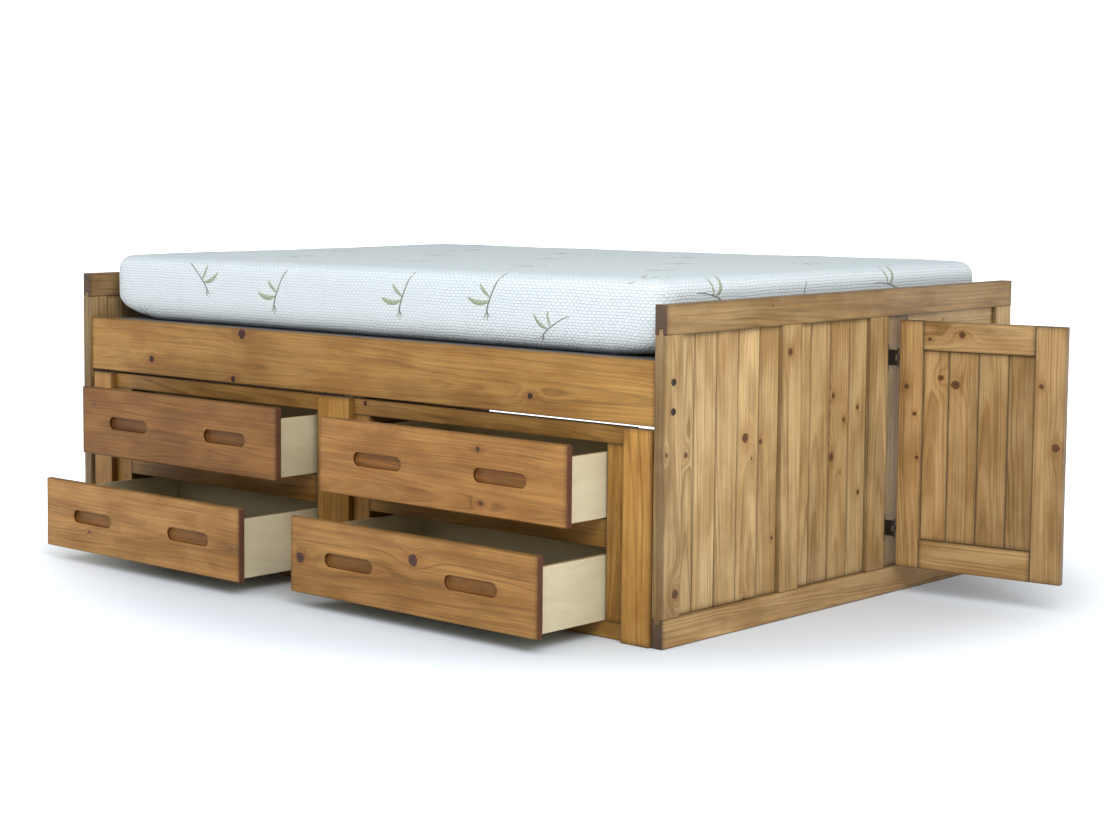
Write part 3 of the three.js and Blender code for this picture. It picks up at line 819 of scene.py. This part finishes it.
def slot_cutter(x, face_y, z):
    """A closed plug that cuts the slot: an eased rim, straight walls and a small fillet round the floor."""
    profile = [(-CUTTER_AHEAD, SLOT_RIM), (0.0, SLOT_RIM)]
    for i in range(1, SLOT_CURVE_STEPS):
        angle = math.pi / 2 * i / SLOT_CURVE_STEPS
        profile.append((SLOT_RIM * math.sin(angle), SLOT_RIM * (1 - math.sin(angle))))
    profile.append((SLOT_RIM * 1.3, 0.0))
    for i in range(SLOT_CURVE_STEPS + 1):
        angle = math.pi / 2 * i / SLOT_CURVE_STEPS
        depth = SLOT_DEPTH - SLOT_FILLET * (1 - math.sin(angle))
        profile.append((depth, -SLOT_FILLET * (1 - math.cos(angle))))
    bm = bmesh.new()
    rings = []
    for depth, grow in profile:
        rings.append([bm.verts.new((x + px, face_y + depth, z + pz)) for px, pz in slot_ring(grow)])
    bridge_rings(bm, rings)
    return finish_mesh("slot_cutter", bm, FRONT_PINE)


def cut_with(piece, cutter):
    modifier = piece.modifiers.new("cut", "BOOLEAN")
    modifier.operation = "DIFFERENCE"
    modifier.solver = "EXACT"
    modifier.object = cutter
    apply_modifiers(piece)
    bpy.data.objects.remove(cutter)


def remark(piece, low, high, board):
    """Writes the board's coordinates again after a cut has made new vertices."""
    bm = bmesh.new()
    bm.from_mesh(piece.data)
    mark_board(bm, bm.verts, low, high, board)
    bm.to_mesh(piece.data)
    bm.free()


def drawer_front(name, look):
    node = f"drawer_{name}_front"
    low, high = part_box(node)
    bm = bmesh.new()
    add_board(bm, low, high, look, ROUND_EASE)
    piece = finish_mesh("wood_" + node, bm, FRONT_PINE)
    for x in (low.x + SLOT_FROM_END, high.x - SLOT_FROM_END):
        cut_with(piece, slot_cutter(x, low.y, (low.z + high.z) / 2))
    remark(piece, low, high, look)
    piece.data.shade_smooth()
    weight_normals(piece)
    stand_for(piece, node)


def drawer_box(name):
    node = f"drawer_{name}_box"
    # The left drawers' boxes are darker as painted shade, for the shade their neighbours cast on them.
    shade = 0.86 if name.endswith("left") else 0.98
    low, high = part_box(node)
    left, right = low.x + BOX_WALL, high.x - BOX_WALL
    near, far = low.y + BOX_WALL, high.y - BOX_WALL
    boards = [
        (low, Vector((left, high.y, high.z)), Board(Y, Z, shade * random.uniform(0.98, 1.02))),
        (Vector((right, low.y, low.z)), high, Board(Y, Z, shade * random.uniform(0.98, 1.02))),
        (Vector((left, low.y, low.z)), Vector((right, near, high.z)), Board(X, Z, shade * 0.95)),
        (Vector((left, far, low.z)), Vector((right, high.y, high.z)), Board(X, Z, shade * 0.95)),
    ]
    wood_piece(node, boards, BOX_EASE)
    one_board(f"drawer_{name}_bottom", Board(X, Y, shade * 0.92), BOX_BOTTOM_EASE)


DRAWER_LOOKS = {
    "upper_left": (0.67, 0.10, [(-0.33, 0.045, 0.003)]),
    "upper_right": (1.0, 0.03, [(0.125, 0.058, 0.006), (0.135, -0.062, 0.005)]),
    "lower_left": (1.14, -0.03, [(-0.20, -0.035, 0.004)]),
    "lower_right": (1.05, -0.02, [(-0.3465, -0.006, 0.0115), (0.0175, 0.035, 0.0125)]),
}


def build_drawers():
    for name, (stain, warm, knots) in DRAWER_LOOKS.items():
        drawer_front(name, Board(X, Z, stain, knots, warm))
        drawer_box(name)


# ---- storage door: built closed, then turned to rest about its hinge ----
DOOR_JOINT = next(j for j in frame["joints"] if j["name"] == "door_hinge")
PIN = Vector(DOOR_JOINT["pos_m"])
OPEN_ANGLE = math.radians(DOOR_JOINT["range_deg"][0])
TURN_TO_REST = Matrix.Rotation(OPEN_ANGLE, 4, "Z")
CLOSED_TO_REST = Matrix.Translation(PIN) @ TURN_TO_REST @ Matrix.Translation(-PIN)


def closed_box(node):
    """A door node's lowest and highest corners with the door shut."""
    back = CLOSED_TO_REST.inverted()
    points = [back @ vert.co for vert in frame["nodes"][node].data.vertices]
    low = Vector(min(p[i] for p in points) for i in range(3))
    high = Vector(max(p[i] for p in points) for i in range(3))
    return low, high


def build_door():
    hinge_knots = [(0.14, -0.01, 0.006), (0.075, 0.012, 0.0045), (-0.03, 0.02, 0.004)]
    looks = {
        "door_hinge_stile": Board(Z, Y, 0.77, hinge_knots, 0.12),
        "door_free_stile": Board(Z, Y, 0.69, [(0.02, 0.018, 0.009), (0.16, -0.02, 0.005)], 0.08),
        "door_top_rail": Board(Y, Z, 0.75, [(-0.04, 0.006, 0.0075), (-0.12, -0.008, 0.004)], 0.08),
        "door_bottom_rail": Board(Y, Z, 0.78, warm=0.08),
    }
    for node, look in looks.items():
        wood_piece(node, [(*closed_box(node), look)], SMALL_EASE * 1.5, CLOSED_TO_REST)
    low, high = closed_box("door_panel")
    edges = [low.y] + [low.y + seam for seam in DOOR_PANEL_SEAMS] + [high.y]
    looks = [
        Board(Z, Y, 0.82, [(0.165, 0.012, 0.0065)], 0.08),
        Board(Z, Y, 0.72, [(0.15, -0.02, 0.010)], 0.08),
        Board(Z, Y, 0.68, warm=0.08),
        Board(Z, Y, 0.56, warm=0.09),
    ]
    boards = []
    for start, end, look in zip(edges, edges[1:], looks):
        boards.append((*between_seams(low, high, start, end), look))
    wood_piece("door_panel", boards, SMALL_EASE * 1.3, CLOSED_TO_REST)


# ---- hinges and bolts ----
METAL_EASE = 0.0004
FINIAL = (
    (0.0016, 0.0), (0.0024, 0.0006), (0.0030, 0.0018), (0.0024, 0.0032), (0.0012, 0.0042), (0.0002, 0.0048),
)
SCREW_HEAD = ((0.0034, 0.0), (0.0032, 0.0005), (0.0022, 0.0011), (0.0008, 0.0013), (0.0008, 0.0007))
WING_SCREW_REACHES = (0.019, 0.027)
LEAF_SCREW_REACHES = (0.006, 0.015)
BOLT_DOME = ((1.0, 0.0), (0.99, 0.30), (0.90, 0.66), (0.72, 0.90), (0.50, 1.0))
BOLT_SOCKET = 0.0030
BOLT_SOCKET_DEPTH = 0.0018
TURNS = 24


def lathe(bm, base, axis, profile):
    """A closed round body: the profile's (radius, height) points, turned about an axis from a base."""
    frame_x = axis.orthogonal().normalized()
    frame_y = axis.cross(frame_x)
    rings = []
    for radius, height in profile:
        ring = []
        for i in range(TURNS):
            angle = 2.0 * math.pi * i / TURNS
            spoke = frame_x * math.cos(angle) + frame_y * math.sin(angle)
            ring.append(bm.verts.new(base + axis * height + spoke * radius))
        rings.append(ring)
    bridge_rings(bm, rings)


def metal_piece(node, add_detail):
    """A CAD metal part with eased edges, and the details that add_detail(bm) puts on it."""
    bm = cad_copy(node, 40.0, METAL_EASE, 2)
    add_detail(bm)
    show("metal_", node, bm)


def screw_head(bm, base, axis, width, height):
    lathe(bm, base, axis, tuple((radius * width, rise * height) for radius, rise in SCREW_HEAD))


def build_hinges():
    """The wing carries the pin's two finials and four screw heads, and the leaf two more screw heads."""
    for i in (1, 2):
        wing = f"hinge_{i}_wing"
        low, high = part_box(wing)
        leaf_low, leaf_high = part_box(f"hinge_{i}_leaf")
        middle = (low.z + high.z) / 2
        half_barrel = (leaf_high.z - leaf_low.z) * 1.5

        def wing_detail(bm):
            for way in (-1, 1):
                end = Vector((PIN.x, PIN.y, middle + way * half_barrel))
                lathe(bm, end, Vector((0, 0, way)), FINIAL)
                for reach in WING_SCREW_REACHES:
                    place = Vector((low.x + 0.0016, low.y + 0.0027, middle + way * reach))
                    screw_head(bm, place, Vector((1, 0, 0)), 0.6, 0.7)

        def leaf_detail(bm):
            face = CLOSED_TO_REST.to_3x3() @ Vector((0, -1, 0))
            for back in LEAF_SCREW_REACHES:
                closed_place = Vector((PIN.x - back - 0.001, PIN.y + 0.0003, middle))
                screw_head(bm, CLOSED_TO_REST @ closed_place, face, 0.8, 0.5)

        metal_piece(wing, wing_detail)
        metal_piece(f"hinge_{i}_leaf", leaf_detail)


def bolt_head(node):
    """A domed head with a six sided socket."""
    low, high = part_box(node)
    middle = (low + high) / 2
    radius = (high.y - low.y) / 2
    tall = high.x - low.x
    bm = bmesh.new()

    def ring(height, size, sides=0):
        points = []
        for i in range(2 * TURNS):
            angle = math.pi * i / TURNS
            reach = size
            if sides:
                part = 2.0 * math.pi / sides
                reach = size * math.cos(part / 2) / math.cos(angle % part - part / 2)
            offset = (height, reach * math.cos(angle), reach * math.sin(angle))
            points.append(bm.verts.new(Vector((low.x, middle.y, middle.z)) + Vector(offset)))
        return points

    rings = [ring(tall * rise, radius * wide) for wide, rise in BOLT_DOME]
    rings.append(ring(tall, BOLT_SOCKET, 6))
    rings.append(ring(tall - BOLT_SOCKET_DEPTH, BOLT_SOCKET * 0.94, 6))
    bridge_rings(bm, rings)
    show("metal_", node, bm)


def build_metal():
    build_hinges()
    for i in (1, 2):
        bolt_head(f"foot_bolt_{i}")


# ---- mattress ----
PLAN_RADIUS = 0.050
TOP_ROUND = 0.030
BOTTOM_ROUND = 0.034
ROUND_STEPS = 6
START_SHY = 0.007
MATTRESS_VOXEL = 0.018
PRESSURE = 4.0
SWELL_FRAMES = 20
SWELL_CAP = 0.0085
HEAD_CURL = 0.050
FOOT_CURL = 0.022
END_CURL_LENGTH = 0.21
CURL_HEIGHT = 0.105
RIPPLE = 0.0012
HEAD_REACH = 0.017
FAR_REACH = 0.012
TOP_STAND = 0.013


def rounded_slab(low, high, plan_radius, top_round, bottom_round):
    """A slab with rounded corners in plan and rounded rims."""
    bm = bmesh.new()
    add_box(bm, low, high)
    upright = [e for e in bm.edges if abs(e.verts[0].co.z - e.verts[1].co.z) > 0.5 * (high.z - low.z)]
    bmesh.ops.bevel(bm, geom=upright, offset=plan_radius, segments=10, profile=0.5, affect="EDGES")
    for rim_z, rounding in ((high.z, top_round), (low.z, bottom_round)):
        rim = [e for e in bm.edges if all(abs(vert.co.z - rim_z) < 1e-5 for vert in e.verts)]
        bmesh.ops.bevel(bm, geom=rim, offset=rounding, segments=ROUND_STEPS, profile=0.5, affect="EDGES")
    return bm


def remesh(piece, voxel):
    modifier = piece.modifiers.new("even_faces", "REMESH")
    modifier.mode = "VOXEL"
    modifier.voxel_size = voxel
    modifier.use_smooth_shade = True
    apply_modifiers(piece)


def swell(piece):
    """Inflates the cover with a short cloth simulation, and holds each point within the cap."""
    cloth = piece.modifiers.new("swell", "CLOTH")
    cloth.settings.use_pressure = True
    cloth.settings.uniform_pressure_force = PRESSURE
    cloth.settings.effector_weights.gravity = 0.0
    cloth.point_cache.frame_start = 1
    cloth.point_cache.frame_end = SWELL_FRAMES
    for step in range(1, SWELL_FRAMES + 1):
        bpy.context.scene.frame_set(step)
    swollen = piece.evaluated_get(bpy.context.evaluated_depsgraph_get())
    moved = [vert.co.copy() for vert in swollen.data.vertices]
    piece.modifiers.remove(cloth)
    for vert, place in zip(piece.data.vertices, moved):
        step = place - vert.co
        if step.length > SWELL_CAP:
            step *= SWELL_CAP / step.length
        vert.co += step
    bpy.context.scene.frame_set(1)


def smoothstep(value, low, high):
    t = min(max((value - low) / (high - low), 0.0), 1.0)
    return t * t * (3.0 - 2.0 * t)


def settle_mattress(piece, low, high):
    """Lifts the underside at both ends as the foam curls, ripples the cover, and rests it on its deck."""
    middle_x = (low.x + high.x) / 2
    for vert in piece.data.vertices:
        co = vert.co
        from_end = min(co.x - low.x, high.x - co.x)
        if from_end < END_CURL_LENGTH:
            share = 1.0 - max(from_end, 0.0) / END_CURL_LENGTH
            curl = HEAD_CURL if co.x < middle_x else FOOT_CURL
            co.z += curl * share * share * (1.0 - smoothstep(co.z, low.z, low.z + CURL_HEIGHT))
        wave = noise(co * 11.0) + 0.5 * noise(co * 27.0)
        out = Vector((0.0, 0.0, 1.0)) if co.z > high.z - 0.01 else Vector(vert.normal)
        co += out * (RIPPLE * (wave - 0.6))
        co.x = min(max(co.x, low.x), high.x)
        co.y = min(max(co.y, low.y), high.y)
        co.z = min(max(co.z, low.z), high.z)


SPRIG_PARTS = (
    (0.0, 0.0045, ((-0.016, -0.046), (-0.010, -0.022), (0.002, 0.004), (0.016, 0.030), (0.032, 0.050))),
    (1.0, 0.0120, ((-0.010, -0.018), (-0.030, -0.023), (-0.052, -0.021), (-0.074, -0.012))),
    (1.0, 0.0085, ((-0.006, -0.008), (-0.017, 0.000), (-0.028, 0.010), (-0.036, 0.021))),
    (1.0, 0.0040, ((-0.014, -0.040), (-0.018, -0.050), (-0.024, -0.060))),
    (0.0, 0.0030, ((-0.014, -0.042), (-0.012, -0.052), (-0.013, -0.064))),
    (0.0, 0.0022, ((-0.014, -0.042), (-0.008, -0.051), (-0.005, -0.056))),
)
PRINT_STEPS = 14
PRINT_PROUD = 0.00035
TOP_LIMIT = 0.009
TOP_FADE = 0.55
PRINT_DEEP = 0.0004
# Where sprigs are printed: along the face, up it, size, turn, mirror.
SIDE_SPRIGS = (
    (-0.575, 0.745, 0.95, 0.35, -1), (-0.272, 0.724, 1.0, 0.0, 1), (0.172, 0.732, 1.0, 0.03, 1),
    (0.455, 0.742, 1.0, 0.0, 1), (0.640, 0.678, 0.85, -0.55, 1), (-0.800, 0.648, 0.5, -0.5, 1),
)
END_SPRIGS = ((-0.50, 0.752, 0.9, 0.9, -1), (-0.14, 0.715, 1.0, 0.2, 1), (0.221, 0.752, 0.9, 1.0, -1))
CORNER_SPRIG = (0.900, -0.652, 0.9, -0.9, 1)


def curve_point(points, t):
    """A point on the smooth curve through control points, for t from 0 to 1."""
    spans = len(points) - 1
    i = min(int(t * spans), spans - 1)
    f = t * spans - i
    before = Vector(points[max(i - 1, 0)])
    start, end = Vector(points[i]), Vector(points[i + 1])
    after = Vector(points[min(i + 2, spans)])
    a = 2 * start
    b = (end - before) * f
    c = (2 * before - 5 * start + 4 * end - after) * f * f
    d = (3 * start - before - 3 * end + after) * f ** 3
    return (a + b + c + d) / 2


def print_strip(bm, layers, looks, widest, points, place):
    """One closed sliver that lies on the cloth; place(u, v) gives the cloth's point and normal."""
    leaf = looks[0] > 0.5
    rows = []
    for i in range(PRINT_STEPS + 1):
        t = i / PRINT_STEPS
        centre = curve_point(points, t)
        ahead = curve_point(points, min(t + 0.02, 1.0)) - curve_point(points, max(t - 0.02, 0.0))
        side = Vector((-ahead.y, ahead.x)).normalized()
        wide = widest * (math.sin(math.pi * (0.04 + 0.92 * t)) ** 0.8 if leaf else 1.0 - 0.55 * t) / 2
        row = []
        for across in (-1.0, 0.0, 1.0):
            spot = place(*(centre + side * wide * across))
            if spot is None:
                return
            row.append(spot)
        rows.append(row)
    tops = [[bm.verts.new(point + normal * PRINT_PROUD) for point, normal in row] for row in rows]
    lows = [[bm.verts.new(point - normal * PRINT_DEEP) for point, normal in row] for row in rows]
    for row in tops + lows:
        for vert in row:
            for layer, look in zip(layers, looks):
                vert[layer] = look
    for i in range(PRINT_STEPS):
        for j in range(2):
            bm.faces.new((tops[i][j], tops[i + 1][j], tops[i + 1][j + 1], tops[i][j + 1]))
            bm.faces.new((lows[i][j], lows[i][j + 1], lows[i + 1][j + 1], lows[i + 1][j]))
        bm.faces.new((tops[i][0], lows[i][0], lows[i + 1][0], tops[i + 1][0]))
        bm.faces.new((tops[i][2], tops[i + 1][2], lows[i + 1][2], lows[i][2]))
    for i in (0, PRINT_STEPS):
        for j in range(2):
            bm.faces.new((tops[i][j], tops[i][j + 1], lows[i][j + 1], lows[i][j]))


def top_sprigs(reach):
    """One sprig at a corner of the top, and rows of others that reach no further than this."""
    places = [CORNER_SPRIG]
    for row in range(4):
        for column in range(5):
            x = -0.78 + column * 0.39 + (0.19 if row % 2 else 0.0)
            if x < reach:
                turn = row * 1.3 + column * 0.7
                places.append((x, -0.48 + row * 0.32, 0.9, turn, 1 if column % 2 else -1))
    return places


def build_sprigs(cover, low, high):
    """The leaf sprigs printed on the cover's sides, ends and top."""
    graph = bpy.context.evaluated_depsgraph_get()
    tree = BVHTree.FromObject(cover, graph)
    middle = (low + high) / 2
    bm = bmesh.new()
    tint_layer = bm.verts.layers.float.new("tint")
    fade_layer = bm.verts.layers.float.new("fade")
    top_places = top_sprigs(high.x - middle.x - 0.1)
    flat_middle = Vector((middle.x, middle.y, 0.0))
    top_limit = max(vert.co.z for vert in cover.data.vertices) - TOP_LIMIT
    faces = [
        (Vector((0, -1, 0)), Vector((1, 0, 0)), Vector((0, 0, 1)), SIDE_SPRIGS),
        (Vector((0, 1, 0)), Vector((-1, 0, 0)), Vector((0, 0, 1)), SIDE_SPRIGS),
        (Vector((1, 0, 0)), Vector((0, 1, 0)), Vector((0, 0, 1)), END_SPRIGS),
        (Vector((-1, 0, 0)), Vector((0, -1, 0)), Vector((0, 0, 1)), END_SPRIGS),
        (Vector((0, 0, 1)), Vector((1, 0, 0)), Vector((0, 1, 0)), top_places),
    ]
    for out, along, up, places in faces:
        for u, v, size, turn, mirror in places:
            centre = flat_middle + along * u + up * v
            fade = TOP_FADE if out.z > 0.5 else 0.0

            def place(su, sv):
                ru = mirror * su * math.cos(turn) - sv * math.sin(turn)
                rv = mirror * su * math.sin(turn) + sv * math.cos(turn)
                start = centre + (along * ru + up * rv) * size
                start.z = min(start.z, top_limit)
                start += out * 2.0
                hit, normal, _, _ = tree.ray_cast(start, -out)
                return None if hit is None else (hit, normal)

            for tint, widest, points in SPRIG_PARTS:
                print_strip(bm, (tint_layer, fade_layer), (tint, fade), widest * size, points, place)
    sprigs = finish_mesh("mattress_sprigs", bm, PRINT)
    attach(sprigs, BODY_OF_NODE["mattress"])


def build_mattress():
    low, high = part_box("mattress")
    low.x -= HEAD_REACH
    high.y += FAR_REACH
    high.z += TOP_STAND
    shy = Vector((START_SHY, START_SHY, 0.0))
    start_high = high - shy - Vector((0, 0, START_SHY))
    start = rounded_slab(low + shy, start_high, PLAN_RADIUS, TOP_ROUND, BOTTOM_ROUND)
    cover = finish_mesh("mattress_cover", start, KNIT)
    remesh(cover, MATTRESS_VOXEL)
    swell(cover)
    settle_mattress(cover, low, high)
    cover.data.materials.clear()
    cover.data.materials.append(KNIT)
    cover.data.shade_smooth()
    rounder = cover.modifiers.new("rounder", "SUBSURF")
    rounder.levels = 1
    rounder.render_levels = 1
    build_sprigs(cover, low, high)
    stand_for(cover, "mattress")


DECK_SHY = 0.0015
DECK_CORNER = 0.03
DECK_ROUND = 0.008


def build_deck():
    """The cloth covered board under the mattress, its edges rounded by the cloth."""
    low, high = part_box("mattress_deck")
    shy = Vector((DECK_SHY, DECK_SHY, 0.0))
    bm = rounded_slab(low + shy, high - shy, DECK_CORNER, DECK_ROUND, DECK_ROUND)
    deck = finish_mesh("mattress_deck_cover", bm, DECK)
    weight_normals(deck)
    stand_for(deck, "mattress_deck")


# ---- stage, light and camera ----
FLOOR_SIZE = 40.0
FLOOR_DROP = 0.0002
FLOOR_TONES = ((0.66, 0.70, 0.745, 1.0), (0.67, 0.71, 0.755, 1.0))
FLOOR_GLOW_FROM, FLOOR_GLOW_TO = 0.98, 1.95
SKY_COLOUR = (0.95, 0.975, 1.0, 1.0)
SKY_LOW, SKY_HIGH = 0.24, 1.02
BACKDROP = 1.05
WHITE = (1.0, 1.0, 1.0, 1.0)
KEY_LIGHT = {"place": (3.3, -2.8, 3.2), "target": (0.2, 0.0, 0.3), "size": (3.5, 2.5), "power": 164.0}
FILL_LIGHT = {"place": (-2.5, -4.5, 2.5), "target": (-0.3, -0.2, 0.3), "size": (3.0, 2.5), "power": 30.0}
CAMERA_LENS = 69.44
CAMERA_SENSOR = 36.0
CAMERA_SHIFT = (0.2156, -0.0568)
CAMERA_PLACE = (3.5558, -4.3121, 1.0262)
CAMERA_TILT = math.radians(90.0 - 4.91)
CAMERA_TURN = math.radians(45.89)


def build_stage():
    """A pale floor that fades to plain white away from the bed."""
    bm = bmesh.new()
    bmesh.ops.create_grid(bm, x_segments=1, y_segments=1, size=FLOOR_SIZE)
    material, nodes = new_material("floor_paint", 0.8, Specular_IOR_Level=0.2)
    place = nodes.node("TexCoord").outputs["Object"]
    tone = nodes.noise(place, 0.8, 2.0)
    nodes.surface("Base Color", nodes.mix(tone, *FLOOR_TONES))
    glow = nodes.smooth(nodes.vector("LENGTH", place), FLOOR_GLOW_FROM, FLOOR_GLOW_TO)
    nodes.surface("Emission Strength", glow)
    nodes.surface("Emission Color", WHITE)
    floor = finish_mesh("studio_floor", bm, material)
    floor.location.z = -FLOOR_DROP


def area_light(name, place, target, size, power):
    data = bpy.data.lights.new(name, "AREA")
    data.shape = "RECTANGLE"
    data.size, data.size_y = size
    data.energy = power
    light = add_object(name, data)
    light.location = place
    light.rotation_euler = (Vector(target) - Vector(place)).to_track_quat("-Z", "Y").to_euler()
    light.visible_camera = False


def build_light():
    """A soft studio: white behind the bed, and a sky that is brighter overhead than at the horizon."""
    world = bpy.data.worlds.new("studio")
    world.use_nodes = True
    tree = world.node_tree
    sky = tree.nodes["Background"]
    nodes = Nodes(tree, sky)
    height = nodes.split(nodes.node("TexCoord").outputs["Generated"])[2]
    nodes.surface("Color", SKY_COLOUR)
    nodes.surface("Strength", nodes.smooth(height, -0.1, 0.9, SKY_LOW, SKY_HIGH))
    backdrop = nodes.node("Background", {"Color": WHITE, "Strength": BACKDROP})
    from_camera = nodes.node("LightPath").outputs["Is Camera Ray"]
    chooser = nodes.node("MixShader", {0: from_camera, 1: sky.outputs[0], 2: backdrop.outputs[0]})
    nodes.put(tree.nodes["World Output"].inputs["Surface"], chooser.outputs[0])
    bpy.context.scene.world = world
    area_light("key", **KEY_LIGHT)
    area_light("fill", **FILL_LIGHT)
    scene = bpy.context.scene
    scene.view_settings.view_transform = "Standard"
    scene.view_settings.look = "None"


def build_camera():
    data = bpy.data.cameras.new("view")
    data.lens = CAMERA_LENS
    data.sensor_width = CAMERA_SENSOR
    data.shift_x, data.shift_y = CAMERA_SHIFT
    camera = add_object("view", data)
    camera.location = CAMERA_PLACE
    camera.rotation_euler = (CAMERA_TILT, 0.0, CAMERA_TURN)
    bpy.context.scene.camera = camera


build_camera()
build_end_panels()
build_frame()
build_drawers()
build_door()
build_metal()
build_deck()
build_mattress()
build_stage()
build_light()
